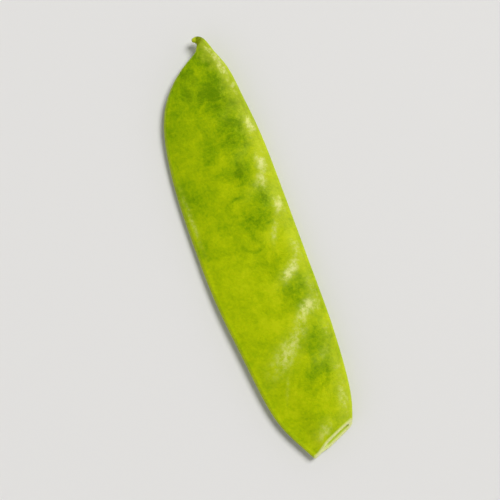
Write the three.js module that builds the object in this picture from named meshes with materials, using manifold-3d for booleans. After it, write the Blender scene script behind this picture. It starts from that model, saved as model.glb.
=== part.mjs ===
// A snow pea pod with its stalk end cut off: two thin, flat valves that grew as one piece. They
// meet along the suture, the straighter edge that carries the seeds, and along the midrib, the
// curved edge, and they end together in a small hooked tip. The pod is hollow, and its hollow
// opens at the slanting cut.
//
// Millimetres. While the pod is being shaped, X runs from the tip to the cut, Y from the midrib
// to the suture and Z through the thickness, with Z = 0 halfway between the two valves.

import * as THREE from 'three';
import { LoftGeometry } from 'three/addons/geometries/LoftGeometry.js';
import { mergeVertices } from 'three/addons/utils/BufferGeometryUtils.js';
import Module from 'manifold-3d';

// Driving dimensions. Where there are two, the first is for the body and the second for the cut end.
const halfThickness = [1.8, 1.3]; // half of the whole pod, where it is thickest across
const hookHalfThickness = 0.7; // the same at the end of the hook
const sutureRadius = [0.85, 1.15]; // the rounded strip along the suture
const midribRadius = [0.75, 0.45]; // the rounded strip along the midrib
const sutureBluntness = 3.2; // the pod stays thick until close to the suture
const midribBluntness = 1.6; // and thins out gradually towards the midrib
const wall = [0.95, 0.7]; // thickness of one valve
const sutureSolid = 1.0; // solid flesh between the suture and the hollow
const midribSolid = [1.5, 3.6]; // solid flesh between the midrib and the hollow
const hollowRounding = 0.6; // how bluntly the hollow ends at its edges
const closedGap = 0.1; // least distance between the valves inside
const pressedFlat = 0.15; // how far the belly is flattened where the pod lies on it
const tipRise = 1.1; // how far the hooked tip curls up off the surface
const cutRise = 0.5; // how far the cut end does

// Places along X.
const swellStart = -2; // where the swelling from the hook to the body begins
const bodyStart = 20; // where the pod has reached its full thickness
const tipCurlStart = 32; // where the curl up towards the tip begins
const cutCurlStart = 72; // where the curl up towards the cut begins
const cutCurlEnd = 98; // where it would have risen by cutRise
const cutEndStart = 76; // where the section starts to change from the body's to the cut end's
const cutEndReached = 94; // where it has changed

// Places across the pod, from -1 at the midrib to 1 at the suture.
const pinchedTo = -0.65; // at the cut end the valves are pinched together from the midrib to here
const apartFrom = [-0.85, -0.6]; // where the valves begin to part inside
const apartBy = [0.15, -0.1]; // where they have parted

const seedCount = 8;
const firstSeed = new THREE.Vector2(13.5, 5.4);
const seedStep = new THREE.Vector2(9.6, 0.15); // from one seed to the next
const seedRadius = 3.4;
const seedHeight = 0.45; // how far a seed pushes out the upper valve
const seedHeightBelow = 0.2; // and the valve that the pod lies on

const cutPoint = new THREE.Vector3(94.8, 2.7, 1.7); // on the upper lip, halfway across
const cutSlant = 24.7; // degrees that the cut turns away from straight across
const cutTilt = 36; // degrees that the lower valve stands out beyond the upper one

// The ribs that shape the pod, from the end of the hook to beyond the cut. Each one is a straight
// line across the pod, from its point on the suture to its point on the midrib.
const ribs = [
  { suture: [0.12, 4.3], midrib: [1.18, 4.22] },
  { suture: [0.0, 4.8], midrib: [1.4, 4.4] },
  { suture: [0.12, 5.45], midrib: [1.65, 4.53] },
  { suture: [0.6, 6.2], midrib: [2.05, 4.47] },
  { suture: [1.5, 6.8], midrib: [2.6, 4.15] },
  { suture: [2.8, 7.3], midrib: [3.25, 3.7] },
  { suture: [4.5, 7.9], midrib: [4.2, 2.2] },
  { suture: [6.4, 8.7], midrib: [5.6, -0.1] },
  { suture: [9, 9.55], midrib: [8, -3.1] },
  { suture: [12.5, 10.1], midrib: [12, -6.5] },
  { suture: [17.5, 10.65], midrib: [17.5, -9.0] },
  { suture: [24, 11.3], midrib: [24, -10.4] },
  { suture: [32, 11.6], midrib: [32, -11.3] },
  { suture: [44, 11.65], midrib: [44, -11.65] },
  { suture: [58, 11.65], midrib: [58, -11.4] },
  { suture: [70, 11.6], midrib: [70, -10.2] },
  { suture: [80, 11.05], midrib: [80, -9.1] },
  { suture: [88, 10.0], midrib: [88, -7.6] },
  { suture: [94, 8.05], midrib: [94, -5.0] },
  { suture: [102, 4.6], midrib: [102, -0.6] },
];

// Shares of the way along the ribs. The hollow begins at the ninth rib, where it is still narrow
// because it widens from just before that rib to some way beyond it.
const hollowStart = 8 / (ribs.length - 1);
const hollowWidens = [hollowStart - 0.03, hollowStart + 0.1];

// How finely the surfaces are faceted.
const skinSections = 60;
const skinSides = 28;
const hollowSections = 36;
const hollowSides = 20;

const stripShare = 0.8; // a strip's radius is at most this share of half the thickness
const mergeDistance = 1e-4;
const blockSize = 300; // larger than the pod every way

const edgeCurve = (edge) => {
  const points = ribs.map((rib) => new THREE.Vector3(rib[edge][0], rib[edge][1], 0));
  return new THREE.CatmullRomCurve3(points, false, 'centripetal');
};

const sutureCurve = edgeCurve('suture');
const midribCurve = edgeCurve('midrib');

const seeds = Array.from({ length: seedCount }, (_, index) =>
  firstSeed.clone().addScaledVector(seedStep, index));

// Height of the seed bumps at a place on the valve: one smooth mound over each seed.
function seedBumps(x, y) {
  return seeds.reduce((sum, seed) => {
    const distance = Math.hypot(x - seed.x, y - seed.y) / seedRadius;
    return sum + Math.exp(-distance * distance);
  }, 0);
}

// A dimension at X, on its way from the body's value to the cut end's.
function towardsCut(x, [inBody, atCut]) {
  const share = THREE.MathUtils.smoothstep(x, cutEndStart, cutEndReached);
  return THREE.MathUtils.lerp(inBody, atCut, share);
}

// How full the lens between the two strips is at a place across the pod.
function fullness(x, across) {
  if (across > 0) {
    return 1 - across ** sutureBluntness;
  }
  const lens = 1 - Math.abs(across) ** midribBluntness;
  const pinched = THREE.MathUtils.smoothstep(across, pinchedTo, 0);
  return towardsCut(x, [lens, pinched]);
}

// A quarter circle that climbs from 0 at the edge to 1 at one radius from it.
function rounding(inset, radius) {
  const near = THREE.MathUtils.clamp(inset / radius, 0, 1);
  return Math.sqrt(1 - (1 - near) ** 2);
}

// Half of the pod's thickness where it is thickest across, which swells from the hook to the body.
function fullHalfThickness(x) {
  const swell = THREE.MathUtils.smoothstep(x, swellStart, bodyStart);
  return THREE.MathUtils.lerp(hookHalfThickness, towardsCut(x, halfThickness), swell);
}

// Height of the middle of the pod: level along the body and curling up towards both ends.
function rise(x) {
  const tip = Math.max(0, 1 - x / tipCurlStart);
  const cut = Math.max(0, (x - cutCurlStart) / (cutCurlEnd - cutCurlStart));
  return tipRise * tip ** 2 + cutRise * cut ** 2;
}

// Height of one valve's skin above the middle of the pod: rounded at the edges, fuller between
// them, and lifted by the seeds.
function skinHeight(point, across, halfWidth, upper) {
  const full = fullHalfThickness(point.x);
  const strip = towardsCut(point.x, across > 0 ? sutureRadius : midribRadius);
  const radius = Math.min(strip, full * stripShare);
  const rounded = rounding(halfWidth * (1 - Math.abs(across)), radius);
  const bump = (upper ? seedHeight : seedHeightBelow) * seedBumps(point.x, point.y);
  return rounded * (radius + bump) + (full - radius) * fullness(point.x, across);
}

// The angles at which a section's points stand round its rib, from the suture over the top.
function anglesRound(sides) {
  return Array.from({ length: sides }, (_, side) => (side / sides) * 2 * Math.PI);
}

// One closed section of the skin across a rib.
function skinSection(share) {
  const suture = sutureCurve.getPoint(share);
  const midrib = midribCurve.getPoint(share);
  const halfWidth = suture.distanceTo(midrib) / 2;
  return anglesRound(skinSides).map((angle) => {
    const across = Math.cos(angle);
    const upper = Math.sin(angle) >= 0;
    const point = midrib.clone().lerp(suture, (1 + across) / 2);
    const height = skinHeight(point, across, halfWidth, upper);
    return point.setZ(rise(point.x) + (upper ? height : -height));
  });
}

// One closed section of the hollow, one wall inside the skin. Towards the midrib the two valves
// lie almost against each other.
function hollowSection(share) {
  const suture = sutureCurve.getPoint(share);
  const midrib = midribCurve.getPoint(share);
  const halfWidth = suture.distanceTo(midrib) / 2;
  const opening = THREE.MathUtils.smoothstep(share, ...hollowWidens);
  const x = (suture.x + midrib.x) / 2;
  const inset = towardsCut(x, midribSolid);
  const hollowWidth = 2 * halfWidth - sutureSolid - inset;
  return anglesRound(hollowSides).map((angle) => {
    const inside = (1 + Math.cos(angle)) / 2;
    const upper = Math.sin(angle) >= 0;
    const across = (inset + inside * hollowWidth) / halfWidth - 1;
    const point = midrib.clone().lerp(suture, (1 + across) / 2);
    const edge = rounding(hollowWidth * Math.min(inside, 1 - inside), hollowRounding);
    const apart = THREE.MathUtils.smoothstep(
      across, towardsCut(x, apartFrom), towardsCut(x, apartBy));
    const gap = (skinHeight(point, across, halfWidth, upper) - towardsCut(x, wall)) * apart;
    const height = opening * edge * Math.max(gap, closedGap / 2);
    return point.setZ(rise(point.x) + (upper ? height : -height));
  });
}

// Sections at even shares of the way from start to end, lofted into a closed surface.
function loft(section, count, start, end) {
  const sections = Array.from({ length: count + 1 }, (_, index) =>
    section(THREE.MathUtils.lerp(start, end, index / count)));
  return new LoftGeometry(sections, { capStart: true, capEnd: true });
}

// A large block that takes away everything beyond a plane, on the side its normal points to.
function blockBeyond(point, normal) {
  const turn = new THREE.Quaternion().setFromUnitVectors(new THREE.Vector3(1, 0, 0), normal);
  return new THREE.BoxGeometry(blockSize, blockSize, blockSize)
    .translate(blockSize / 2, 0, 0)
    .applyQuaternion(turn)
    .translate(point.x, point.y, point.z);
}

function cutNormal() {
  const slant = THREE.MathUtils.degToRad(cutSlant);
  const tilt = THREE.MathUtils.degToRad(cutTilt);
  const level = new THREE.Vector3(Math.cos(slant), Math.sin(slant), 0);
  return level.multiplyScalar(Math.cos(tilt)).setZ(Math.sin(tilt));
}

const wasm = await Module();
wasm.setup();

function solidOf(geometry) {
  const bare = new THREE.BufferGeometry();
  bare.setAttribute('position', geometry.getAttribute('position'));
  bare.setIndex(geometry.getIndex());
  const merged = mergeVertices(bare, mergeDistance);
  const mesh = new wasm.Mesh({
    numProp: 3,
    vertProperties: merged.attributes.position.array,
    triVerts: new Uint32Array(merged.index.array),
  });
  return new wasm.Manifold(mesh);
}

function geometryOf(solid) {
  const mesh = solid.getMesh();
  const geometry = new THREE.BufferGeometry();
  geometry.setAttribute('position', new THREE.BufferAttribute(mesh.vertProperties, 3));
  geometry.setIndex(new THREE.BufferAttribute(mesh.triVerts, 1));
  geometry.computeVertexNormals();
  return geometry;
}

// The whole pod: the skin, less the hollow, less the stalk end, less what the surface flattens.
function podGeometry() {
  const skin = solidOf(loft(skinSection, skinSections, 0, 1));
  const hollow = solidOf(loft(hollowSection, hollowSections, hollowStart, 1));
  const stalkEnd = solidOf(blockBeyond(cutPoint, cutNormal()));
  const bellyPoint = new THREE.Vector3(0, 0, pressedFlat - halfThickness[0]);
  const belly = solidOf(blockBeyond(bellyPoint, new THREE.Vector3(0, 0, -1)));
  return geometryOf(skin.subtract(hollow).subtract(stalkEnd).subtract(belly));
}

// Stands a mesh on Z = 0, with its box centred over the origin.
function standOnOrigin(mesh) {
  const box = new THREE.Box3().setFromObject(mesh);
  const centre = box.getCenter(new THREE.Vector3());
  mesh.position.set(-centre.x, -centre.y, -box.min.z);
}

const podSkin = new THREE.MeshStandardMaterial({ color: 0xa0b80e, roughness: 0.42, metalness: 0 });

const pod = new THREE.Mesh(podGeometry(), podSkin);
pod.name = 'pod';
standOnOrigin(pod);

const group = new THREE.Group();
group.add(pod);

export default group;
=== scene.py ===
# %% [markdown]
# # A snow pea pod
#
# This lesson makes one snow pea pod as it lies on a table after its stalk end has been cut off.
# A pod is two thin valves, one above the other, that grew together along both edges. The
# straighter edge is the suture, which carries the seeds. The curved edge is the midrib. Both run
# into a small hooked tip, the beak, and the other end is open where the knife went through.
#
# Everything is worked out in millimetres with X from the tip to the cut, Y from the midrib to the
# suture and Z up, and it is turned into metres once, when the mesh is made.

# %% Load the frame
import math

import bpy
import numpy as np
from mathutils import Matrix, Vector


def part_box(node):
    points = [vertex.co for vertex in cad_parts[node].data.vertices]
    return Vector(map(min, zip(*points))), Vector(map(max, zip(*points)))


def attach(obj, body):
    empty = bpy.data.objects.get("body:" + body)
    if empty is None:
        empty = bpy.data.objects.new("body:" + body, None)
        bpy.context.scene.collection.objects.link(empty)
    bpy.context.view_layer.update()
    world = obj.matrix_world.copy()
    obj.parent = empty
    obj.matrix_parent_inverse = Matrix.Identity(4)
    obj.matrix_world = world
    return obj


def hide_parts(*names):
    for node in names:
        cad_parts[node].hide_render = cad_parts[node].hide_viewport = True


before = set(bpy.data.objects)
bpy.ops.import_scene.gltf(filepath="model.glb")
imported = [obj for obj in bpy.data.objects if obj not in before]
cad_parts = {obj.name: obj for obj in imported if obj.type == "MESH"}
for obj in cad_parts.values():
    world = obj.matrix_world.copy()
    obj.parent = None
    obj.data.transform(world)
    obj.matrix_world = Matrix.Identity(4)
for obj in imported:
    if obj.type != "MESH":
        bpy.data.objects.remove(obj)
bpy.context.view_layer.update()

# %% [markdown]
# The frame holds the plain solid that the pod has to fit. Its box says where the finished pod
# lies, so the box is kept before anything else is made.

MM = 0.001
pod_low, pod_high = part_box("pod")
print("the pod's box, mm:", [round((high - low) / MM, 2) for low, high in zip(pod_low, pod_high)])

# %% [markdown]
# ## The outline
#
# Seen from above, the pod is a long leaf shape with a beak. It could be traced as one closed
# curve, but then the surface would have to be filled in afterwards. It is better to think of ribs,
# as in a boat: straight lines across the pod, each from a point on the suture to a point on the
# midrib. At the beak the ribs fan round, so the surface turns with it.

# %% The ribs, from the beak to beyond the cut
RIBS = np.array([
    # suture x, y, midrib x, y
    (0.12, 4.3, 1.18, 4.22),
    (0.0, 4.8, 1.4, 4.4),
    (0.12, 5.45, 1.65, 4.53),
    (0.6, 6.2, 2.05, 4.47),
    (1.5, 6.8, 2.6, 4.15),
    (2.8, 7.3, 3.25, 3.7),
    (4.5, 7.9, 4.2, 2.2),
    (6.4, 8.7, 5.6, -0.1),
    (9, 9.55, 8, -3.1),
    (12.5, 10.1, 12, -6.5),
    (17.5, 10.65, 17.5, -9.0),
    (24, 11.3, 24, -10.4),
    (32, 11.6, 32, -11.3),
    (44, 11.65, 44, -11.65),
    (58, 11.65, 58, -11.4),
    (70, 11.6, 70, -10.2),
    (80, 11.05, 80, -9.1),
    (88, 10.0, 88, -7.6),
    (94, 8.05, 94, -5.0),
    (102, 4.6, 102, -0.6),
])
print(len(RIBS), "ribs, the widest", np.abs(RIBS[:, 1] - RIBS[:, 3]).max(), "mm")

# %% [markdown]
# The ribs' ends are joined by a cubic spline, the curve that a springy strip of wood takes when it
# is held at a few pins. Its knots are spaced by the square root of the distance between ribs,
# because with even knots it would bulge where short gaps meet long ones, at the neck of the beak.

# %% A smooth curve through the ends of the ribs
def knots_of(points):
    """Running sum of the square root of the distance from each point to the next."""
    step = np.linalg.norm(np.diff(points, axis=0), axis=1)
    return np.concatenate(([0.0], np.cumsum(np.sqrt(step))))


def bends_of(knots, points):
    """Second derivatives at the knots: none at the ends, and no jump in slope between them."""
    gap = np.diff(knots)
    slope = np.diff(points, axis=0) / gap[:, None]
    inner = np.arange(1, len(knots) - 1)
    matrix = np.eye(len(knots))
    matrix[inner, inner - 1] = gap[:-1]
    matrix[inner, inner] = 2 * (gap[:-1] + gap[1:])
    matrix[inner, inner + 1] = gap[1:]
    jump = np.zeros_like(points)
    jump[1:-1] = 6 * np.diff(slope, axis=0)
    return np.linalg.solve(matrix, jump)


KNOTS = knots_of(RIBS)
BENDS = bends_of(KNOTS, RIBS)


def rib_at(place):
    """Suture and midrib ends of the rib at a place along the knots: the blend of the two nearest
    ribs, plus a cubic part that is nothing at each of them and bends the curve between."""
    left = np.clip(np.searchsorted(KNOTS, place, side="right") - 1, 0, len(KNOTS) - 2)
    gap = KNOTS[left + 1] - KNOTS[left]
    b = ((place - KNOTS[left]) / gap)[..., None]
    a = 1 - b
    straight = a * RIBS[left] + b * RIBS[left + 1]
    bent = (a**3 - a) * BENDS[left] + (b**3 - b) * BENDS[left + 1]
    ends = straight + bent * gap[..., None] ** 2 / 6
    return ends[..., :2], ends[..., 2:]


print("the curves are", round(KNOTS[-1], 1), "knot units long")

# %% [markdown]
# ## The thickness
#
# Cut across, a pod is a flat lens with a rounded strip along each edge. It stays thick until close
# to the suture, where the seeds hang, and thins out gradually towards the midrib. The strip along
# the suture is the string that a cook pulls off. Near the stalk end the pod is thinner, its string
# is stouter, and on the midrib's side the two valves are pinched together. A ready-made circle
# carried along the ribs and flattened would come out too full at the edges, so the height over a
# rib is a formula of its own.

# %% The pod's section
# Where there are two values, the first is the body's and the second the cut end's.
HALF_THICKNESS = (1.8, 1.3)
BEAK_HALF = 0.7
SWELLING = (-2, 20)
CUT_END = (76, 94)
SUTURE_RADIUS = (0.85, 1.15)
MIDRIB_RADIUS = (0.75, 0.45)
STRIP_SHARE = 0.8
SUTURE_BLUNTNESS = 3.2
MIDRIB_BLUNTNESS = 1.6
PINCHED_TO = -0.65


def smooth(value, low, high):
    """A smooth step from 0 at low to 1 at high."""
    share = np.clip((value - low) / (high - low), 0, 1)
    return share * share * (3 - 2 * share)


def towards_cut(x, in_body, at_cut):
    """A smooth step from the body's value to the cut end's."""
    return in_body + (at_cut - in_body) * smooth(x, *CUT_END)


def half_thickness(x):
    """Half of the pod's thickness where it is thickest: swelling from the beak to the body, and
    thinner again at the cut."""
    return BEAK_HALF + (towards_cut(x, *HALF_THICKNESS) - BEAK_HALF) * smooth(x, *SWELLING)


def fullness(x, across):
    """Height of the lens over a rib that runs from -1 at the midrib to 1 at the suture: one, less
    the distance from the middle raised to a power that is higher on the suture's side. At the cut
    end the midrib's side is a smooth step instead, because the valves are pinched together."""
    power = np.where(across > 0, SUTURE_BLUNTNESS, MIDRIB_BLUNTNESS)
    lens = 1 - np.abs(across) ** power
    pinched = np.where(across > 0, lens, smooth(across, PINCHED_TO, 0))
    return towards_cut(x, lens, pinched)


def edge_radius(x, across, full):
    """Radius of the rounded strip at the nearer edge, never more than the beak can hold."""
    suture = towards_cut(x, *SUTURE_RADIUS)
    midrib = towards_cut(x, *MIDRIB_RADIUS)
    return np.minimum(np.where(across > 0, suture, midrib), STRIP_SHARE * full)


def rounding(inset, radius):
    """From 0 to 1 over a quarter circle, for a strip that is as thick as it is wide."""
    near = np.clip(inset / radius, 0, 1)
    return np.sqrt(1 - (1 - near) ** 2)


print("half the thickness at the beak, in the body and at the cut, mm:",
      np.round(half_thickness(np.array([0, 50, 96])), 2))

# %% [markdown]
# ## Seeds under the skin
#
# The seeds of a snow pea stay small, but each one still lifts the valves a little. A mound is a
# bell curve over an ellipse. Each seed hangs from the suture by a short stalk, which shows as a
# narrower mound beside it, and between two seeds the valves sink in. Seeds and dips all lean the
# same way, with their suture ends nearer the beak, because the stalks grow at a slant. Sculpting
# would do as well, but with formulas the colours can follow the same mounds later.

# %% The seeds' mounds
SEED_X = np.array([13.4, 23, 31.6, 41.8, 52.1, 61.2, 72, 80.3])
SEED_Y = np.array([5.4, 5.6, 5.0, 5.5, 5.7, 6.0, 6.1, 5.2])
SEED_FULLNESS = np.array([1.0, 0.95, 0.9, 0.85, 0.7, 1.0, 0.9, 0.8])
SEED_HEIGHT = 0.45
SEED_SIZE = (2.9, 3.9)
STALK_HEIGHT = 0.13
STALK_SIZE = (1.7, 2.0)
STALK_OFFSET = (-1.0, 3.9)
DIP_DEPTH = 0.2
DIP_SIZE = (1.6, 3.6)
DIP_OFFSET = (4.6, 1.4)
SLANT = math.radians(38)


def mound(x, y, centre, size, turn=0.0):
    """A bell curve over an ellipse with its own centre, half-axes and turn."""
    dx = x - centre[0]
    dy = y - centre[1]
    along = dx * math.cos(turn) + dy * math.sin(turn)
    over = dy * math.cos(turn) - dx * math.sin(turn)
    return np.exp(-((along / size[0]) ** 2) - (over / size[1]) ** 2)


def by_each_seed(x, y, offset, size, turn, heights):
    """Sum of mounds, one at the same offset from every seed, each with its own height."""
    heights = np.broadcast_to(heights, SEED_X.shape)
    places = zip(SEED_X + offset[0], SEED_Y + offset[1], heights)
    return sum(high * mound(x, y, (at, up), size, turn) for at, up, high in places)


def seed_relief(x, y):
    """Height of the seeds and their stalks, less the dips between one seed and the next."""
    seeds = by_each_seed(x, y, (0, 0), SEED_SIZE, SLANT, SEED_HEIGHT * SEED_FULLNESS)
    stalks = by_each_seed(x, y, STALK_OFFSET, STALK_SIZE, 0.0, STALK_HEIGHT)
    dips = by_each_seed(x, y, DIP_OFFSET, DIP_SIZE, SLANT, DIP_DEPTH)
    return seeds + stalks - dips


print(len(SEED_X), "seeds, apart by, mm:", np.round(np.diff(SEED_X), 1))

# %% [markdown]
# ## Unevenness
#
# A valve is never a perfect lens. A few long, low waves that run in different directions, added
# together, give soft swells that never repeat. The two valves get waves of their own.

# %% Long, low waves
wave_draw = np.random.default_rng(5)
WAVE_COUNT = 9
WAVE_LENGTH = wave_draw.uniform(7, 32, (2, WAVE_COUNT))
WAVE_TURN = wave_draw.uniform(0, math.pi, (2, WAVE_COUNT))
WAVE_SHIFT = wave_draw.uniform(0, 2 * math.pi, (2, WAVE_COUNT))


def waves(x, y, valve):
    """Sum of sine waves, each as high as it is long, so that the short ones stay faint."""
    total = 0
    for i in range(WAVE_COUNT):
        turn = WAVE_TURN[valve, i]
        length = WAVE_LENGTH[valve, i]
        travel = (x * math.cos(turn) + y * math.sin(turn)) / length
        total = total + length * np.sin(2 * math.pi * travel + WAVE_SHIFT[valve, i])
    return total / WAVE_LENGTH[valve].sum()


print("wave lengths, mm:", np.round(np.sort(WAVE_LENGTH[0]), 1))

# %% [markdown]
# ## How the pod lies
#
# The pod curls up a little at both ends, each of its edges wanders up and down on its own, and its
# belly is pressed flat where it lies. A flat cut under the belly would leave a sharp border, so
# the height above the table is bent softly to nothing instead.

# %% Height of the pod's middle
TIP_RISE = 1.1
TIP_CURL_START = 32
CUT_RISE = 0.5
CUT_CURL_START = 72
CUT_CURL_LENGTH = 26
SUTURE_WANDER = (0.2, 9.5, 0.6)
MIDRIB_WANDER = (0.28, 13, 2.2)
PRESSED = 0.15
PRESSED_SOFTNESS = 0.05
TABLE = PRESSED - HALF_THICKNESS[0]


def wander(x, height, length, shift):
    """A slow sine wave along the pod."""
    return height * np.sin(x / length + shift)


def rise(x, across):
    """Height halfway between the valves: level in the body, curling up to both ends by the square
    of the distance, with a wave along each edge that grows with the cube towards it."""
    tip = TIP_RISE * np.clip(1 - x / TIP_CURL_START, 0, None) ** 2
    cut = CUT_RISE * np.clip((x - CUT_CURL_START) / CUT_CURL_LENGTH, 0, None) ** 2
    suture_edge = wander(x, *SUTURE_WANDER) * np.clip(across, 0, 1) ** 3
    midrib_edge = wander(x, *MIDRIB_WANDER) * np.clip(-across, 0, 1) ** 3
    return tip + cut + suture_edge + midrib_edge


def pressed_flat(z):
    """Keeps a height above the table, with a soft bend where the belly meets it: half of the sum
    of the height and of the root of its square plus a small square."""
    above = z - TABLE
    return TABLE + (above + np.sqrt(above**2 + PRESSED_SOFTNESS**2)) / 2


print("the tip is off the table by, mm:", round(float(rise(0.0, 0.0)) - TABLE - BEAK_HALF, 2))

# %% [markdown]
# ## The edges
#
# Each edge has a low ridge on both valves and a faint valley behind it, and the string along the
# suture has a shallow groove between the two valves. Relief this fine could be left to bump, but
# then it would vanish from the pod's outline at the cut.

# %% Ridges along the edges
# How high or deep each is, how far from the edge it lies, and how wide it is.
SUTURE_RIDGE = (0.05, 0.5, 0.3)
SUTURE_VALLEY = (0.03, 1.35, 0.5)
MIDRIB_RIDGE = (0.05, 0.5, 0.3)
MIDRIB_VALLEY = (0.04, 1.25, 0.45)


def bell(distance, width):
    """A bell curve: 1 at no distance, falling to a third at one width."""
    return np.exp(-((distance / width) ** 2))


def ridge(inset, height, at, width):
    """A bell curve of its own height, at its own distance from the edge."""
    return height * bell(inset - at, width)


def edge_relief(to_suture, to_midrib):
    """The ridges along the two edges, less the valleys behind them."""
    suture = ridge(to_suture, *SUTURE_RIDGE) - ridge(to_suture, *SUTURE_VALLEY)
    midrib = ridge(to_midrib, *MIDRIB_RIDGE) - ridge(to_midrib, *MIDRIB_VALLEY)
    return suture + midrib


print("height of the suture's ridge, mm:",
      round(float(edge_relief(np.linspace(0, 3, 50), 9.0).max()), 3))

# %% [markdown]
# ## The skin as one function
#
# A place on the skin has two parameters: how far along the ribs it is, and an angle round the rib,
# with 0 on the suture, a quarter turn on top, half a turn on the midrib and three quarters below.
# One function of the two gives every point, so the skin can be made as fine as needed and can be
# asked where it meets the knife.

# %% The skin
WAVE_HEIGHT = 0.16
LOWER_RELIEF = 0.45
BEAK_TO_BODY = (2, 9)
SUTURE_GROOVE = 0.3
GROOVE_WIDTH = 0.3
MIDRIB_KEEL = 0.12
KEEL_WIDTH = 0.25


def valve_height(x, y, across, width, top):
    """Height of one valve above the pod's middle: the rounded strips with everything that lies on
    them, plus the lens between the strips."""
    full = half_thickness(x)
    radius = edge_radius(x, across, full)
    to_suture = width * (1 - across) / 2
    to_midrib = width * (1 + across) / 2
    uneven = np.where(top, waves(x, y, 0), waves(x, y, 1)) * (1 - across**2)
    relief = np.where(top, 1.0, LOWER_RELIEF) * seed_relief(x, y) + WAVE_HEIGHT * uneven
    relief = relief + smooth(x, *BEAK_TO_BODY) * edge_relief(to_suture, to_midrib)
    rounded = rounding(np.minimum(to_suture, to_midrib), radius)
    return rounded * (radius + relief) + (full - radius) * fullness(x, across)


def skin(place, angle):
    """A point on the skin: the rib's blend of suture and midrib by the cosine of the angle, and
    the valve's height, upwards on one valve and downwards on the other."""
    suture, midrib = rib_at(place)
    across = np.cos(angle)
    top = np.sin(angle) >= 0
    rib = suture - midrib
    width = np.linalg.norm(rib, axis=-1)
    flat = midrib + rib * ((1 + across) / 2)[..., None]
    x, y = flat[..., 0], flat[..., 1]
    height = valve_height(x, y, across, width, top)
    z = rise(x, across) + np.where(top, height, -height)
    groove = SUTURE_GROOVE * bell(height, GROOVE_WIDTH) * (across > 0)
    keel = MIDRIB_KEEL * bell(height, KEEL_WIDTH) * (across < 0)
    inwards = smooth(x, *BEAK_TO_BODY) * (groove + keel)
    flat = flat - rib / width[..., None] * inwards[..., None]
    return np.stack((flat[..., 0], flat[..., 1], pressed_flat(z)), axis=-1)


MIDDLE = KNOTS[13]
middle_section = skin(np.full(64, MIDDLE), np.linspace(0, 2 * math.pi, 64))
print("thickness halfway along, mm:", round(float(np.ptp(middle_section[:, 2])), 2))

# %% [markdown]
# ## The hollow
#
# Inside, the two valves don't touch, though towards the midrib they nearly do. The hollow follows
# the skin one wall further in, ends bluntly at its two edges, and closes in a rounded end before
# the beak. Solidify could give the wall, but it would be equally thick everywhere. One more
# function of place and angle lets the flesh be thicker at the edges.

# %% The hollow
WALL = (0.95, 0.7)
SUTURE_SOLID = 1.0
MIDRIB_SOLID = (1.5, 3.6)
APART_FROM = (-0.85, -0.6)
APART_BY = (0.15, -0.1)
HOLLOW_EDGE = 0.6
LEAST_HALF_GAP = 0.05
HOLLOW_START = KNOTS[8]
HOLLOW_CLOSING = 3.0


def hollow(place, angle):
    """A point on the hollow's wall: a rib without its solid edges, and the valve's height less one
    wall, both shrunk by a quarter circle towards the closed end."""
    suture, midrib = rib_at(place)
    rib = suture - midrib
    width = np.linalg.norm(rib, axis=-1)
    rib_x = (suture[..., 0] + midrib[..., 0]) / 2
    inset = towards_cut(rib_x, *MIDRIB_SOLID)
    hollow_width = width - SUTURE_SOLID - inset
    opening = rounding(place - HOLLOW_START, HOLLOW_CLOSING)
    inside = (1 + np.cos(angle) * opening) / 2
    across = 2 * (inset + inside * hollow_width) / width - 1
    flat = midrib + rib * ((1 + across) / 2)[..., None]
    x, y = flat[..., 0], flat[..., 1]
    top = np.sin(angle) >= 0
    apart = smooth(across, towards_cut(rib_x, *APART_FROM), towards_cut(rib_x, *APART_BY))
    gap = (valve_height(x, y, across, width, top) - towards_cut(rib_x, *WALL)) * apart
    edge = rounding(hollow_width * (1 - np.abs(np.cos(angle))) / 2, HOLLOW_EDGE)
    height = opening * edge * np.maximum(gap, LEAST_HALF_GAP)
    z = rise(x, across) + np.where(top, height, -height)
    return np.stack((x, y, z), axis=-1)


print("the hollow starts at x, mm:", round(float(rib_at(HOLLOW_START)[0][0]), 1))

# %% [markdown]
# ## The cut
#
# The knife went through in one flat plane that slants across the pod and leans through its
# thickness, so that the lower valve stands out beyond the upper one. A boolean cut would do it,
# but it leaves ragged triangles. Instead, each line along the skin is ended exactly where it meets
# the plane, and halving an interval forty times finds that place for all the lines at once.

# %% Where each line meets the cut
CUT_POINT = np.array([94.8, 2.7, 1.7])
CUT_SLANT = math.radians(24.7)
CUT_TILT = math.radians(36)
CUT_NORMAL = np.array([
    math.cos(CUT_SLANT) * math.cos(CUT_TILT),
    math.sin(CUT_SLANT) * math.cos(CUT_TILT),
    math.sin(CUT_TILT),
])
HALVINGS = 40
SIDES = 176
ANGLES = np.arange(SIDES) / SIDES * 2 * math.pi


def meets_cut(surface, angle):
    """The place on each line of a surface that lies in the cut, found by halving."""
    low = np.full_like(angle, MIDDLE)
    high = np.full_like(angle, KNOTS[-1])
    for _ in range(HALVINGS):
        half = (low + high) / 2
        beyond = (surface(half, angle) - CUT_POINT) @ CUT_NORMAL > 0
        high = np.where(beyond, half, high)
        low = np.where(beyond, low, half)
    return (low + high) / 2


skin_end = meets_cut(skin, ANGLES)
hollow_end = meets_cut(hollow, ANGLES)
print("the cut's furthest point at x, mm:", round(float(skin(skin_end, ANGLES)[:, 0].max()), 2))

# %% [markdown]
# ## One sheet of points
#
# Skin, cut face and hollow are rows of one sheet: along the skin from the beak to the cut, across
# the cut face, and back down the hollow to its closed end. Because it is one sheet, nothing has to
# be joined, and faces that point outwards on the skin point the right way everywhere. The rows lie
# closer together towards the edges of the cut, where the surface turns sharply.

# %% Rows of points
BODY_ROWS = 330
END_ROWS = 70
HOLLOW_ROWS = 84
CAP_ROWS = 8
CAP_LENGTH = 0.45
END_CREEP = (0.985, 0.996, 1.0)
HOLLOW_FIRST_SHARE = 0.003
HOLLOW_CROWDING = 1.5
STEADY_END = KNOTS[15]


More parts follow.
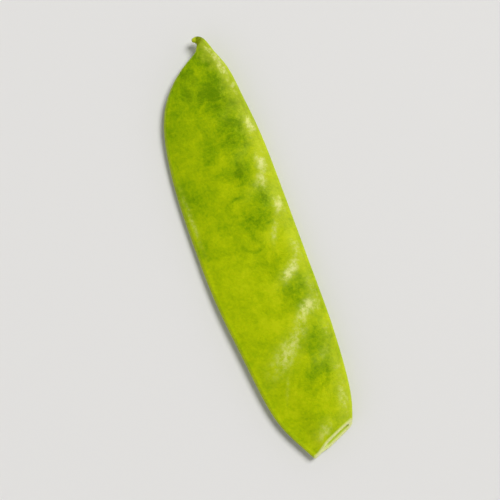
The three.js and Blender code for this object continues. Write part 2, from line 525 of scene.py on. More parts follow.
def beak_cap(ring, ring_behind):
    """Rounds off the end: the first ring shrinks by a cosine while it moves out by a sine."""
    centre = ring.mean(axis=0)
    outwards = centre - ring_behind.mean(axis=0)
    outwards = outwards / np.linalg.norm(outwards)
    turn = np.linspace(math.pi / 2, 0, CAP_ROWS, endpoint=False)[1:, None, None]
    return centre + (ring - centre) * np.cos(turn) + outwards * CAP_LENGTH * np.sin(turn)


def rows_between(surface, start, end, shares):
    """Rows of a surface at shares of the way from start to end, which may differ by column."""
    start = np.broadcast_to(start, ANGLES.shape)
    place = start + (end - start) * shares[:, None]
    return surface(place, np.broadcast_to(ANGLES, place.shape))


body_rows = rows_between(skin, KNOTS[0], STEADY_END, np.linspace(0, 1, BODY_ROWS))
end_shares = np.append(np.linspace(0, END_CREEP[0], END_ROWS)[1:], END_CREEP[1:])
end_rows = rows_between(skin, STEADY_END, skin_end, end_shares)
cap_rows = beak_cap(body_rows[0], body_rows[3])
skin_rows = np.concatenate((cap_rows, body_rows, end_rows))
crowded = np.linspace(0, 1, HOLLOW_ROWS, endpoint=False) ** HOLLOW_CROWDING
hollow_shares = np.append(0, HOLLOW_FIRST_SHARE + (1 - HOLLOW_FIRST_SHARE) * crowded)
hollow_rows = rows_between(hollow, hollow_end, HOLLOW_START, hollow_shares)
print("rows of skin and hollow:", len(skin_rows), len(hollow_rows))

# %% [markdown]
# The flesh of a cut face swells out a hair when the knife has passed, and it is never quite even.
# The rows across it are straight blends of the two rims, lifted by half a sine wave, with a ripple
# that runs round the rim.

# %% The cut face
FLESH_SWELLING = 0.07
RIPPLE_HEIGHT = 0.02
RIPPLE_COUNT = 23
cut_shares = np.array([0.04, 0.12, 0.25, 0.4, 0.55, 0.7, 0.83, 0.93])[:, None, None]
outer_rim = skin_rows[-1]
inner_rim = hollow_rows[0]
ripple = RIPPLE_HEIGHT * np.sin(ANGLES * RIPPLE_COUNT)[None, :, None] * cut_shares
swelling = FLESH_SWELLING * np.sin(math.pi * cut_shares) + ripple
cut_rows = outer_rim + (inner_rim - outer_rim) * cut_shares + swelling * CUT_NORMAL
sheet = np.concatenate((skin_rows, cut_rows, hollow_rows))
print("the sheet is", sheet.shape[0], "rows by", sheet.shape[1], "points")

# %% [markdown]
# ## The mesh
#
# Four neighbouring points make a face, and the last column wraps round to the first. The two ends
# of the sheet are closed by a point each, with a fan of triangles.

# %% Faces of the sheet
POLE_STEP = 0.3


def sheet_faces(rows, sides):
    """Quads between neighbouring rows, each row wrapping round on itself."""
    row, side = np.meshgrid(np.arange(rows - 1), np.arange(sides), indexing="ij")
    here = row * sides
    after = (side + 1) % sides
    quads = (here + side, here + after, here + sides + after, here + sides + side)
    return np.stack(quads, axis=-1).reshape(-1, 4)


def fan_faces(first, pole, sides, flip):
    """Triangles from one row to a pole."""
    side = np.arange(sides)
    after = (side + 1) % sides
    fan = np.stack((first + side, first + after, np.full(sides, pole)), axis=-1)
    return fan[:, ::-1] if flip else fan


row_count = len(sheet)
end_centre = skin_rows[0].mean(axis=0)
tip_pole = end_centre + (end_centre - skin_rows[1].mean(axis=0)) * POLE_STEP
deep_pole = hollow(np.array([HOLLOW_START]), np.array([0.0]))[0]
points = np.concatenate((sheet.reshape(-1, 3), tip_pole[None], deep_pole[None]))
quads = sheet_faces(row_count, SIDES)
tip_fan = fan_faces(0, row_count * SIDES, SIDES, True)
deep_fan = fan_faces((row_count - 1) * SIDES, row_count * SIDES + 1, SIDES, False)
print(len(quads), "quads,", len(tip_fan) + len(deep_fan), "triangles")

# %% [markdown]
# The points move from the pod's own millimetres to the frame's metres. The two boxes are matched:
# centre over centre, and lowest point on lowest point. The object itself stays at the origin.

# %% Make the mesh
def in_frame(points):
    """Metres, with the box's middle over the frame solid's and its bottom at the same height."""
    low, high = points.min(axis=0), points.max(axis=0)
    anchor = np.array([(low[0] + high[0]) / 2, (low[1] + high[1]) / 2, low[2]])
    solid_low, solid_high = np.array(pod_low), np.array(pod_high)
    target = np.array([*(solid_low + solid_high)[:2] / 2, solid_low[2]])
    return (points - anchor) * MM + target


pod_mesh = bpy.data.meshes.new("snow_pea_pod")
faces = quads.tolist() + tip_fan.tolist() + deep_fan.tolist()
pod_mesh.from_pydata(in_frame(points).tolist(), [], faces)
pod_mesh.polygons.foreach_set("use_smooth", np.ones(len(faces), dtype=bool))
pod = bpy.data.objects.new("snow_pea_pod", pod_mesh)
bpy.context.scene.collection.objects.link(pod)
print("faces:", len(faces), "valid:", not pod_mesh.validate())

# %% [markdown]
# ## What the materials need to know
#
# The skin's colour follows the pod, so noise alone can't give it. Each thing that a material has
# to know is a number at every point. The mesh carries these numbers as attributes, and the
# materials turn them into colour. They could be painted by hand, but the formulas that shaped the
# pod already know where everything is.
#
# The first is painted highlight: whitish patches in the colour of a wax bloom, standing in for
# glare. It is strong in some places and faint in others: strong beside the seeds' stalks, along
# the dips, and in a few patches of its own.

# %% Where the painted highlight lies
# Painted highlight: whitish glare patches along the dips and beside the stalks, one strength per
# seed.
DIP_GLARE = np.array([0.1, 0.15, 0.2, 0.15, 1.0, 0.9, 0.3, 0.1])
DIP_GLARE_OFFSET = (4.5, 1.1)
DIP_GLARE_SIZE = (1.4, 3.2)
STALK_GLARE = np.array([0.4, 1.0, 1.0, 1.0, 0.5, 0.35, 0.4, 0.3])
STALK_GLARE_OFFSET = (-0.2, 3.9)
STALK_GLARE_SIZE = (2.0, 1.1)
GLARE_PATCHES = [
    # x, y, size along, size over, turn in degrees, how strong the painted highlight is
    (8.0, 8.1, 3.0, 0.9, 8, 0.85),
    (4.0, 6.7, 2.4, 0.7, 22, 0.5),
    (35.5, 7.8, 1.9, 1.2, 0, 0.7),
    (46.8, 6.7, 3.0, 0.7, -23, 0.6),
    (74.3, -0.8, 2.4, 5.4, 38, 0.65),
    (70.2, 3.6, 1.6, 4.0, 42, 0.4),
    (66.0, 9.6, 1.8, 1.0, -30, 0.5),
    (38.0, -10.2, 7.0, 0.6, 0, 0.5),
    (81.5, -3.0, 2.6, 0.35, -22, 0.5),
    (93.2, 1.6, 1.6, 3.4, 38, 0.5),
    (87.5, 8.0, 3.5, 1.2, -12, 0.5),
]


def patches_at(x, y, patches):
    """Sum of turned mounds, each with its own place, size and strength."""
    total = 0
    for at, up, along, over, turn, strength in patches:
        total = total + strength * mound(x, y, (at, up), (along, over), math.radians(turn))
    return total


def painted_glare_shape(x, y):
    """Mounds along the dips and beside the stalks, plus the patches."""
    dips = by_each_seed(x, y, DIP_GLARE_OFFSET, DIP_GLARE_SIZE, SLANT, DIP_GLARE)
    stalks = by_each_seed(x, y, STALK_GLARE_OFFSET, STALK_GLARE_SIZE, 0.0, STALK_GLARE)
    return dips + stalks + patches_at(x, y, GLARE_PATCHES)


# The patches counted here are painted highlight.
print("patches of bloom:", len(GLARE_PATCHES) + np.count_nonzero(DIP_GLARE) + len(STALK_GLARE))

# %% [markdown]
# The second is shade. The skin is a deeper green over the seeds, because they are dark and the
# valve lets them show through, and there are a few broad darker and lighter patches besides.

# %% Where the green is deep
SEED_SHADE = np.array([0.95, 1.6, 1.2, 1.05, 0.35, 1.1, 0.05, 1.3])
SHADE_SIZE = (3.4, 4.3)
SHADE_PATCHES = [
    # x, y, size along, size over, turn in degrees, how deep, or below 0 where it is lighter
    (60.8, 8.6, 3.0, 1.8, 0, 0.8),
    (71.0, 9.0, 2.6, 1.6, -20, 0.6),
    (9.5, 1.5, 4.0, 4.5, 0, 0.4),
    (50.0, -9.0, 9.0, 3.5, 0, 0.25),
    (69.0, -6.0, 17.0, 3.4, 0, 0.22),
    (29.5, -7.0, 4.0, 3.0, 0, -0.35),
]


def shade_shape(x, y):
    """Mounds over the seeds, each as deep as its place says, plus the patches."""
    seeds = by_each_seed(x, y, (0, 0), SHADE_SIZE, SLANT, SEED_SHADE)
    return seeds + patches_at(x, y, SHADE_PATCHES)


print("the deepest shade is over seed", int(SEED_SHADE.argmax()) + 1)

# %% [markdown]
# The third is creases: two short arcs where the valve was bent and sprang back. They are hardly
# deeper than a scratch, so they are made in bump, with their shade painted into the colour as
# darker arcs.

# %% Creases
CREASES = [
    # the circle's x, y and radius, then x and y of the crease's middle
    (41.5, 1.0, 4.0, 37.5, 0.8),
    (47.3, 1.3, 2.9, 49.7, 0.2),
]
CREASE_WIDTH = 0.35
CREASE_REACH = 2.8


def crease_shape(x, y):
    """Short arcs: a bell curve over a circle's line, kept to the part near the crease's middle."""
    total = 0
    for centre_x, centre_y, radius, at, up in CREASES:
        line = bell(np.hypot(x - centre_x, y - centre_y) - radius, CREASE_WIDTH)
        total = total + line * mound(x, y, (at, up), (CREASE_REACH, CREASE_REACH))
    return total


print("creases:", len(CREASES))

# %% [markdown]
# The rest are distances and places: how far a point is from the suture and from the midrib, how
# strong the pale band of paler skin and painted highlight beside the suture is there, how far it is
# from the cut, how near the end of the beak, how ripe, because the green is deeper near the beak,
# and, on the cut face, how far it is from the skin towards the hollow. The painted highlight and
# the creases with their painted shade belong to the upper valve only.

# %% Store the numbers in the mesh
BAND_FADING = 0.65
BAND_FADES_AT = 67
BAND_FADES_OVER = 17
RIPENING = 0.6
RIPENS_FIRST = (5, 15)
RIPENS_FURTHER = (12, 60)
EDGE_SAMPLES = 400
HOOK_END = KNOTS[5]


def attribute(name, values):
    """Stores one number for each point of the mesh."""
    layer = pod_mesh.attributes.new(name, "FLOAT", "POINT")
    layer.data.foreach_set("value", np.ascontiguousarray(values, dtype=np.float32))


def edge_y(line, x):
    """Y of an edge at any X, read off straight pieces between its points."""
    order = np.argsort(line[:, 0])
    return np.interp(x, line[order, 0], line[order, 1])


x, y = points[:, 0], points[:, 1]
upper = points[:, 2] > 0
suture_line, midrib_line = rib_at(np.linspace(0, KNOTS[-1], EDGE_SAMPLES))
attribute("to_suture", edge_y(suture_line, x) - y)
attribute("to_midrib", y - edge_y(midrib_line, x))
attribute("pale_and_highlight_band", 1 - BAND_FADING * bell(x - BAND_FADES_AT, BAND_FADES_OVER))
attribute("cut_depth", (CUT_POINT - points) @ CUT_NORMAL)
attribute("ripe", RIPENING * (smooth(x, *RIPENS_FIRST) + smooth(x, *RIPENS_FURTHER)))
attribute("shade", shade_shape(x, y))
attribute("painted_glare", painted_glare_shape(x, y) * upper)
attribute("crease_and_painted_shade", crease_shape(x, y) * upper)

along_body = np.linspace(0, STEADY_END, BODY_ROWS)
hook_of_row = np.append(np.ones(len(cap_rows)), 1 - smooth(along_body, KNOTS[0], HOOK_END))
hook = np.zeros(len(points))
hook[:len(hook_of_row) * SIDES] = np.repeat(hook_of_row, SIDES)
attribute("hook", hook)

first_cut = len(skin_rows) * SIDES
after_cut = first_cut + len(cut_rows) * SIDES
into_wall = np.zeros(len(points))
into_wall[first_cut:after_cut] = np.repeat(cut_shares.ravel(), SIDES)
into_wall[after_cut:] = 1
attribute("into_wall", into_wall)
print("numbers stored:", len([layer for layer in pod_mesh.attributes if layer.data_type == "FLOAT"]))

# %% [markdown]
# The faces are sorted into three finishes by the row they are in: skin, cut flesh and lining.

# %% Which finish each face has
row_of_quad = np.arange(len(quads)) // SIDES
finish = np.zeros(len(faces), dtype=np.int32)
finish[:len(quads)][row_of_quad >= len(skin_rows) - 1] = 1
finish[:len(quads)][row_of_quad >= len(skin_rows) + len(cut_rows)] = 2
finish[len(quads) + SIDES:] = 2
print("faces of skin, flesh and lining:", np.bincount(finish))

# %% [markdown]
# ## Building materials from nodes
#
# A few small helpers keep the materials readable. The main one adds a node and sets its inputs,
# where a value may be the output of another node. The others wrap the nodes used again and again.

# %% Helpers for nodes
def put(tree, kind, _out=0, _set=None, **inputs):
    """Adds a node, sets its properties and inputs, and returns one of its outputs. An input is
    given by its name, with _ for a space, or by i and its number."""
    node = tree.nodes.new("ShaderNode" + kind)
    for name, value in (_set or {}).items():
        setattr(node, name, value)
    for name, value in inputs.items():
        number = name[1:]
        socket = node.inputs[int(number) if number.isdigit() else name.replace("_", " ")]
        if isinstance(value, bpy.types.NodeSocket):
            tree.links.new(value, socket)
        else:
            socket.default_value = value
    return node.outputs[_out]


def value_of(tree, name):
    """One of the mesh's own numbers."""
    return put(tree, "Attribute", "Fac", {"attribute_name": name})


def ramp(tree, value, low, high, start=0.0, end=1.0):
    """Turns a range of a value smoothly into another range."""
    settings = {"interpolation_type": "SMOOTHSTEP"}
    return put(tree, "MapRange", 0, settings, i0=value, i1=low, i2=high, i3=start, i4=end)


def product(tree, first, second):
    """One value times another."""
    return put(tree, "Math", 0, {"operation": "MULTIPLY"}, i0=first, i1=second)


def at_most(tree, value, most):
    """A value that is held below a limit."""
    return put(tree, "Math", 0, {"operation": "MINIMUM"}, i0=value, i1=most)


def weighted(tree, start, *terms):
    """A start plus each value times its weight."""
    total = start
    for value, weight in terms:
        total = put(tree, "Math", 0, {"operation": "MULTIPLY_ADD"}, i0=value, i1=weight, i2=total)
    return total


def blend(tree, share, first, second):
    """Mixes two colours by a share."""
    settings = {"data_type": "RGBA", "blend_type": "MIX"}
    return put(tree, "Mix", 2, settings, i0=share, i6=first, i7=second)


def noise(tree, where, size, detail=2.0, rough=0.5, warp=0.0):
    """Noise with features of about one size, in metres."""
    return put(tree, "TexNoise", 0, None, Vector=where, Scale=1 / size, Detail=detail,
               Roughness=rough, Distortion=warp)


print("noise, ramp, blend and weighted sum are ready")

# %% [markdown]
# A finish is a new material with its nodes and its shader. Relief too fine for the mesh is bump,
# and scattering lets light into the flesh and out again beside where it went in.

# %% Helpers for finishes
def new_finish(name):
    """A new material, its node tree and its shader."""
    material = bpy.data.materials.new(name)
    material.use_nodes = True
    tree = material.node_tree
    return material, tree, tree.nodes["Principled BSDF"]


def link_finish(tree, shader, colour, roughness, relief, strength, depth):
    """Links colour, roughness and a bump of some strength and depth in metres to the shader."""
    bump = put(tree, "Bump", 0, None, Height=relief, Strength=strength, Distance=depth)
    tree.links.new(colour, shader.inputs["Base Color"])
    tree.links.new(roughness, shader.inputs["Roughness"])
    tree.links.new(bump, shader.inputs["Normal"])


def scatter(shader, weight, radius, scale):
    """Sets how much light scatters under the surface, and how far each of its colours goes."""
    shader.inputs["Subsurface Weight"].default_value = weight
    shader.inputs["Subsurface Radius"].default_value = radius
    shader.inputs["Subsurface Scale"].default_value = scale


print("finishes can be made")

# %% [markdown]
# ## Colours of the pod
#
# The skin's greens run from the deep one over the seeds to a light yellow-green. The other colours
# are laid on top or belong to the cut.

# %% Colours
GREENS = [
    (0.132, 0.256, 0.0006, 1),
    (0.213, 0.358, 0.0007, 1),
    (0.320, 0.448, 0.0009, 1),
    (0.415, 0.530, 0.0012, 1),
    (0.500, 0.593, 0.0040, 1),
]
# Paler skin beside the suture, also used for painted highlight.
PALE_SKIN_AND_HIGHLIGHT = (0.560, 0.640, 0.041, 1)
# Whitish, like wax, for painted glare highlights and for the bruised skin at the cut.
GLARE_AND_BRUISE_WHITE = (0.820, 0.840, 0.340, 1)
# Light green for painted highlight along the edges and for the beak's dry end.
EDGE_HIGHLIGHT_AND_BEAK_END = (0.520, 0.600, 0.020, 1)
OLIVE = (0.120, 0.165, 0.0010, 1)
FLESH = (0.800, 0.830, 0.330, 1)
FLESH_RIM = (0.430, 0.550, 0.040, 1)
LINING = (0.480, 0.600, 0.040, 1)
print("greens in the skin:", len(GREENS))

# %% [markdown]
# ## The skin's patterns
#
# Fresh pod skin is mottled in patches of every size from a fingertip down to a pinhead, and a net
# of veins runs through it: stout ones that lean with the seeds and a finer mesh between them. Noise
# at several sizes gives the mottling. The veins are the borders of stretched cells, in a space
# that a soft noise has bent, because straight borders would look like cracked glass.

# %% Patterns
SKIN_NOISE = {
    # size in mm, detail, roughness and warp
    "broad": (22, 1, 0.5, 0.0),
    "patches": (5.5, 6, 0.7, 0.3),
    "waxing": (5, 3, 0.6, 0.0),
    "ragged": (2.2, 4, 0.7, 0.0),
    "flecks": (1.1, 3, 0.7, 0.0),
    "specks": (0.6, 3, 0.6, 0.0),
    "cells": (0.22, 2, 0.5, 0.0),
}
SKIN_VEINS = {
    # turn in degrees, size along and over in mm, and how much of a cell the vein takes
    "main_veins": (38, 2.2, 9, 0.09),
    "small_veins": (-15, 0.9, 1.6, 0.12),
}
SKIN_NUMBERS = (
    "to_suture", "to_midrib", "pale_and_highlight_band", "cut_depth", "ripe", "shade", "painted_glare", "crease_and_painted_shade", "hook",
)
VEIN_BENDS = 4.0 * MM
VEIN_SHIFT = 2.2 * MM


def vein_net(tree, where, turn, along, over, width):
    """A net of veins: the borders of cells that are stretched in one direction."""
    turned = put(tree, "Mapping", 0, None, Vector=where, Rotation=(0, 0, math.radians(turn)),
                 Scale=(1 / (along * MM), 1 / (over * MM), 1 / (over * MM)))
    border = put(tree, "TexVoronoi", 0, {"feature": "DISTANCE_TO_EDGE"}, Vector=turned, Scale=1.0)
    return ramp(tree, border, 0.0, width, 1.0, 0.0)


def warped(tree, where, size, amount):
    """Places shifted by a soft noise, so that straight patterns wander."""
    shift = put(tree, "TexNoise", 1, None, Vector=where, Scale=1 / size, Detail=1.0)
    centred = put(tree, "VectorMath", 0, {"operation": "SUBTRACT"}, i0=shift, i1=(0.5, 0.5, 0.5))
    scaled = put(tree, "VectorMath", 0, {"operation": "SCALE"}, i0=centred, i3=amount)
    return put(tree, "VectorMath", 0, {"operation": "ADD"}, i0=where, i1=scaled)


def skin_patterns(tree):
    """All the noises, vein nets and mesh numbers that the skin is mixed from, by name."""
    where = put(tree, "TexCoord", "Object")
    bent = warped(tree, where, VEIN_BENDS, VEIN_SHIFT)
    of = {name: value_of(tree, name) for name in SKIN_NUMBERS}
    for name, (size, detail, rough, warp) in SKIN_NOISE.items():
        of[name] = noise(tree, where, size * MM, detail, rough, warp)
    for name, net in SKIN_VEINS.items():
        of[name] = vein_net(tree, bent, *net)
    return of


print("patterns in the skin:", len(SKIN_NOISE) + len(SKIN_VEINS))

# %% [markdown]
# ## The skin's greens
#
# All of the mottling is one number, the skin's lightness, which then runs through the five greens.
# Mixing colours patch by patch would give muddy tones where the patches overlap.

# %% Lightness
LIGHTNESS_START = -0.425
# Two shares are painted shade: the darkening beside the midrib and the darkening along the creases.
LIGHTNESS_SHARES = {
    "uneven": 1.3,
    "broad": 0.45,
    "specks": 0.65,
    "cells": 0.15,
    "deep": -0.34,
    "painted_shade_by_midrib": -0.11,
    "crease_and_painted_shade": -0.45,
    "ripe": 0.42,
}


def mix_of(tree, start, of, shares):
    """A start plus each named value times its share."""
    return weighted(tree, start, *[(of[name], share) for name, share in shares.items()])


def skin_lightness(tree, of):
    """A weighted sum: patches that are stronger near the suture, the other noises, the ripeness,
    less the shade with its ragged borders, the painted shade beside the midrib where the skin
    curves away from the light, and the painted shade along the creases."""
    strength = ramp(tree, of["to_suture"], 6.0, 17.0, 2.0, 1.3)
    own = {
        "uneven": product(tree, weighted(tree, -0.5, (of["patches"], 1.0)), strength),
        "deep": product(tree, of["shade"], ramp(tree, of["ragged"], 0.3, 0.65, 0.6, 1.2)),
        # Painted shade beside the midrib, where the skin curves away from the light.
        "painted_shade_by_midrib": ramp(tree, of["to_midrib"], 1.5, 10.0, 1.0, 0.0),
    }
    return mix_of(tree, LIGHTNESS_START, {**of, **own}, LIGHTNESS_SHARES)


def shades(tree, value, colours):
    """Runs evenly through a list of colours as the value goes from 0 to 1."""
    node = tree.nodes.new("ShaderNodeValToRGB")
    stops = node.color_ramp.elements
    stops[0].color = colours[0]
    stops[1].color = colours[-1]
    for i in range(1, len(colours) - 1):
        stops.new(i / (len(colours) - 1)).color = colours[i]
    tree.links.new(value, node.inputs["Fac"])
    return node.outputs["Color"]


print("the lightness has", len(LIGHTNESS_SHARES), "parts")

# %% [markdown]
# ## Painted highlight, pale band and edges
#
# The skin is paler in a band beside the suture, partly in its own colour and partly as painted
# highlight. Over it lies more painted highlight in whitish patches, coloured like a wax bloom, torn
# at their borders and crumbled to flecks inside the band. A bright line follows each edge, partly
# the paler string and midrib and partly painted highlight, the skin is bruised pale right at the
# cut, and the beak is olive with a dry, yellowish end. Each of these is a layer: a share and a
# colour, laid over what is below.

# %% Layers over the greens
MOST_GLARE = 0.85
MAIN_VEIN_SHARE = 0.12
SMALL_VEIN_SHARE = 0.08


def pale_skin_and_highlight_band(tree, of):
    """How pale the skin is beside the suture, partly its own colour and partly painted highlight:
    less with the distance, with a ragged border.
    """
    frayed = weighted(tree, of["to_suture"], (of["ragged"], 6.0), (of["flecks"], 3.0))
    return product(tree, ramp(tree, frayed, 5.0, 9.4, 0.46, 0.0), of["pale_and_highlight_band"])


def painted_glare_strength(tree, of, pale_and_highlight_band):
    """The painted highlight torn by two noises, plus crumbs of it in the pale band but not on the
    string.
    """
    torn = product(tree, ramp(tree, of["ragged"], 0.32, 0.66, 0.45, 1.05),
                   ramp(tree, of["flecks"], 0.28, 0.68, 0.6, 1.15))
    off_string = product(tree, pale_and_highlight_band, ramp(tree, of["to_suture"], 0.5, 1.3))
    crumbs = product(tree, ramp(tree, of["flecks"], 0.46, 0.7, 0.0, 0.9), off_string)
    return weighted(tree, crumbs, (product(tree, of["painted_glare"], torn), 1.0))


def skin_colour(tree, of):
    """The greens with all the layers over them, the lowest first."""
    pale_and_highlight_band = pale_skin_and_highlight_band(tree, of)
    glare_strength = painted_glare_strength(tree, of, pale_and_highlight_band)
    layers = (
        # The band is paler skin and painted highlight; the next two layers are painted highlight,
        # pale and then whitish.
        (pale_and_highlight_band, PALE_SKIN_AND_HIGHLIGHT),
        (at_most(tree, glare_strength, MOST_GLARE), PALE_SKIN_AND_HIGHLIGHT),
        (ramp(tree, glare_strength, 0.1, 1.2, 0.0, 0.8), GLARE_AND_BRUISE_WHITE),
        # Painted highlight along both edges, over their paler string and midrib.
        (ramp(tree, of["to_suture"], 0.1, 0.45, 0.4, 0.0), EDGE_HIGHLIGHT_AND_BEAK_END),
        (ramp(tree, of["to_midrib"], 0.2, 0.6, 0.4, 0.0), EDGE_HIGHLIGHT_AND_BEAK_END),
        (ramp(tree, of["cut_depth"], 0.0, 0.28, 0.7, 0.0), GLARE_AND_BRUISE_WHITE),
        (ramp(tree, of["hook"], 0.1, 0.5, 0.0, 0.85), OLIVE),
        (ramp(tree, of["hook"], 0.8, 0.95, 0.0, 0.8), EDGE_HIGHLIGHT_AND_BEAK_END),
        (product(tree, of["main_veins"], MAIN_VEIN_SHARE), GREENS[-1]),
        (product(tree, of["small_veins"], SMALL_VEIN_SHARE), GREENS[-1]),
    )
    colour = shades(tree, skin_lightness(tree, of), GREENS)
    for share, layer in layers:
        colour = blend(tree, share, colour, layer)
    return colour


# The thickest painted highlight covers this share of the green.
print("thickest bloom covers", MOST_GLARE, "of the green")

# %% [markdown]
# ## The skin's finish
#
# Pod skin has a dull wax gloss that changes from place to place and a very fine grain. Its shine
# is yellowish, because light that glances off the wax has gone through some of it. Under the wax
# the flesh scatters a little light, which softens the shading.

# %% The skin's material
SKIN_RELIEF = {
    "main_veins": 0.18,
    "small_veins": 0.10,
    "specks": 0.6,
    "ragged": 0.8,
    "cells": 0.18,
    "crease_and_painted_shade": -0.3,
}
SKIN_BUMP = 0.1 * MM
SKIN_SCATTER = (0.12, (0.6, 1.0, 0.15), 0.8 * MM)


def pod_skin():
    """Greens, wax and veins, with a gloss and a grain that follow the same patterns."""
    material, tree, shader = new_finish("pod_skin")
    of = skin_patterns(tree)
    roughness = ramp(tree, of["waxing"], 0.3, 0.7, 0.36, 0.5)
    relief = mix_of(tree, 0.0, of, SKIN_RELIEF)
    link_finish(tree, shader, skin_colour(tree, of), roughness, relief, 1.0, SKIN_BUMP)
    shader.inputs["IOR"].default_value = 1.42
    shader.inputs["Specular IOR Level"].default_value = 0.3
    shader.inputs["Specular Tint"].default_value = (1.0, 1.0, 0.1, 1)
    scatter(shader, *SKIN_SCATTER)
    return material


pod_mesh.materials.append(pod_skin())
print("nodes in the skin:", len(pod_mesh.materials[0].node_tree.nodes))

# %% [markdown]
# ## Cut flesh
#
# The cut shows pale, wet flesh with a greener rim just under the skin, and a fainter one where it
# meets the hollow. It is wetter than the skin, so it is glossier and scatters more.

# %% The cut flesh
FLESH_GRAIN = 0.3 * MM
FLESH_BUMP = 0.08 * MM
FLESH_SCATTER = (0.25, (0.8, 1.0, 0.4), 1.0 * MM)


def cut_flesh():
    """Pale flesh between two greener rims, with a fine wet grain."""
    material, tree, shader = new_finish("cut_flesh")
    grain = noise(tree, put(tree, "TexCoord", "Object"), FLESH_GRAIN, 3, 0.6)
    into_wall = value_of(tree, "into_wall")
    colour = blend(tree, ramp(tree, into_wall, 0.0, 0.2, 0.5, 1.0), FLESH_RIM, FLESH)
    colour = blend(tree, ramp(tree, into_wall, 0.85, 1.0, 0.0, 0.4), colour, FLESH_RIM)
    colour = blend(tree, ramp(tree, grain, 0.45, 0.75, 0.0, 0.35), colour, FLESH_RIM)
    roughness = ramp(tree, grain, 0.3, 0.7, 0.28, 0.45)
    link_finish(tree, shader, colour, roughness, grain, 0.7, FLESH_BUMP)
    scatter(shader, *FLESH_SCATTER)
    return material


pod_mesh.materials.append(cut_flesh())
print("nodes in the flesh:", len(pod_mesh.materials[1].node_tree.nodes))

# %% [markdown]
# ## The lining
#
# The hollow is lined with a smooth pale film that carries faint fibres across the pod. Daylight
# seeps through the thin valves, so the hollow is never black. Making the valves see-through would
# need light to be traced right through them, so the lining gives off a faint green light instead.

# %% The lining of the hollow
FIBRE_SIZE = 0.8 * MM
FIBRE_TURN = 0.3
FIBRE_STRETCH = (3, 0.5, 1)
LINING_BUMP = 0.06 * MM
SEEPING_LIGHT = 0.07


def hollow_lining():
    """A pale film with fibres, whiter at the cut, with the light that seeps through the valves."""
    material, tree, shader = new_finish("hollow_lining")
    stretched = put(tree, "Mapping", 0, None, Vector=put(tree, "TexCoord", "Object"),
                    Rotation=(0, 0, FIBRE_TURN), Scale=FIBRE_STRETCH)
    fibres = noise(tree, stretched, FIBRE_SIZE, 3, 0.6)
    at_rim = ramp(tree, value_of(tree, "cut_depth"), 0.0, 0.3, 0.7, 0.0)
    colour = blend(tree, ramp(tree, fibres, 0.35, 0.7), LINING, GREENS[3])
    colour = blend(tree, at_rim, colour, FLESH)
    roughness = ramp(tree, fibres, 0.3, 0.7, 0.3, 0.42)
    link_finish(tree, shader, colour, roughness, fibres, 0.5, LINING_BUMP)
    shader.inputs["Emission Color"].default_value = LINING
    shader.inputs["Emission Strength"].default_value = SEEPING_LIGHT
    return material


pod_mesh.materials.append(hollow_lining())
pod_mesh.polygons.foreach_set("material_index", finish)
print("finishes on the pod:", [material.name for material in pod_mesh.materials])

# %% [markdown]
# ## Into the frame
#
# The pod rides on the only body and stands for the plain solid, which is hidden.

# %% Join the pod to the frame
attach(pod, "root")
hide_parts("pod")

# %% [markdown]
# ## The floor
#
# A plain pale floor, so large that its edge can't be seen from any side. It lies a hair below the
# pod, because two surfaces in the same place would flicker through each other.

# %% The floor
FLOOR_HALF_SIDE = 6.0
FLOOR_GAP = 0.02 * MM
FLOOR_COLOUR = (0.80, 0.79, 0.775, 1)
FLOOR_ROUGHNESS = 0.65


def pale_floor():
    """One square face with its corners at the same distance from the middle in X and in Y."""
    corners = FLOOR_HALF_SIDE * np.array([(-1, -1, 0), (1, -1, 0), (1, 1, 0), (-1, 1, 0)])
    corners[:, 2] = pod_low[2] - FLOOR_GAP
    mesh = bpy.data.meshes.new("floor")
    mesh.from_pydata(corners.tolist(), [], [(0, 1, 2, 3)])
    material, _, shader = new_finish("pale_floor")
    shader.inputs["Base Color"].default_value = FLOOR_COLOUR
    shader.inputs["Roughness"].default_value = FLOOR_ROUGHNESS
    mesh.materials.append(material)
    return bpy.data.objects.new("floor", mesh)


floor = pale_floor()
bpy.context.scene.collection.objects.link(floor)
print("the floor is", 2 * FLOOR_HALF_SIDE, "m wide")

# %% [markdown]
# ## Light
#
# A soft key light comes from the suture's side and a weaker one from opposite, to open up the
# shadow. Lamps close by would light the floor in pools, so both are wide discs very far away, like
# windows at the end of a hall.

# %% The lights
# Where each light comes from, how strong it is, and over how many degrees it is spread.
KEY_LIGHT = ((-0.36, 0.78, 1.2), 2.4, 26)
FILL_LIGHT = ((0.2, -0.9, 0.9), 0.35, 60)


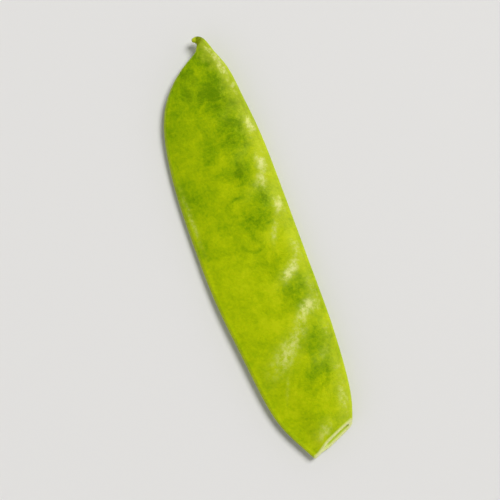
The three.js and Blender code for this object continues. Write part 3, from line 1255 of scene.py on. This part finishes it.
def skylight(name, direction, strength, spread):
    """Even light from one direction, softened by coming from a disc that is spread wide."""
    light = bpy.data.lights.new(name, "SUN")
    light.energy = strength
    light.angle = math.radians(spread)
    lamp = bpy.data.objects.new(name, light)
    bpy.context.scene.collection.objects.link(lamp)
    x, y, z = np.array(direction) / np.linalg.norm(direction)
    lamp.rotation_euler = (math.acos(z), 0, math.atan2(x, -y))
    return lamp


for light_name, light_values in (("key", KEY_LIGHT), ("fill", FILL_LIGHT)):
    lamp = skylight(light_name, *light_values)
    print(light_name, "leans by, degrees:", round(math.degrees(lamp.rotation_euler.x)))

# %% [markdown]
# A glossy skin mirrors whatever is around it, so the studio has pale walls all round under a dark
# ceiling. Level skin then keeps its deep colour, and the edges catch the walls.

# %% The studio's walls and ceiling
WALL_COLOUR = (1.0, 0.995, 0.98, 1)
CEILING_SPAN = (0.1, 0.85)
WALL_STRENGTH = 0.8
CEILING_STRENGTH = 0.05


def studio():
    """Brightness that falls smoothly from the walls to the ceiling with the height of a view."""
    world = bpy.data.worlds.new("studio")
    world.use_nodes = True
    tree = world.node_tree
    direction = put(tree, "TexCoord", "Generated")
    height = put(tree, "SeparateXYZ", 2, None, Vector=direction)
    brightness = ramp(tree, height, *CEILING_SPAN, WALL_STRENGTH, CEILING_STRENGTH)
    background = tree.nodes["Background"]
    background.inputs["Color"].default_value = WALL_COLOUR
    tree.links.new(brightness, background.inputs["Strength"])
    return world


bpy.context.scene.world = studio()
print("walls and ceiling:", WALL_STRENGTH, CEILING_STRENGTH)

# %% [markdown]
# ## The camera
#
# The camera looks straight down, turned so that the pod lies at a slant with its beak at the top
# left. A long lens from high up keeps both ends at nearly the same scale.

# %% The camera
CAMERA_HEIGHT = 0.315
LENS = 100
SENSOR_WIDTH = 36
POD_SLANT = math.radians(69.75)

camera_data = bpy.data.cameras.new("camera")
camera_data.lens = LENS
camera_data.sensor_width = SENSOR_WIDTH
camera = bpy.data.objects.new("camera", camera_data)
camera.location = (0, 0, CAMERA_HEIGHT)
camera.rotation_euler = (0, 0, POD_SLANT)
bpy.context.scene.collection.objects.link(camera)
bpy.context.scene.camera = camera
bpy.context.scene.view_settings.view_transform = "Standard"
print("the view is", round(CAMERA_HEIGHT * SENSOR_WIDTH / LENS / MM), "mm wide at the floor")
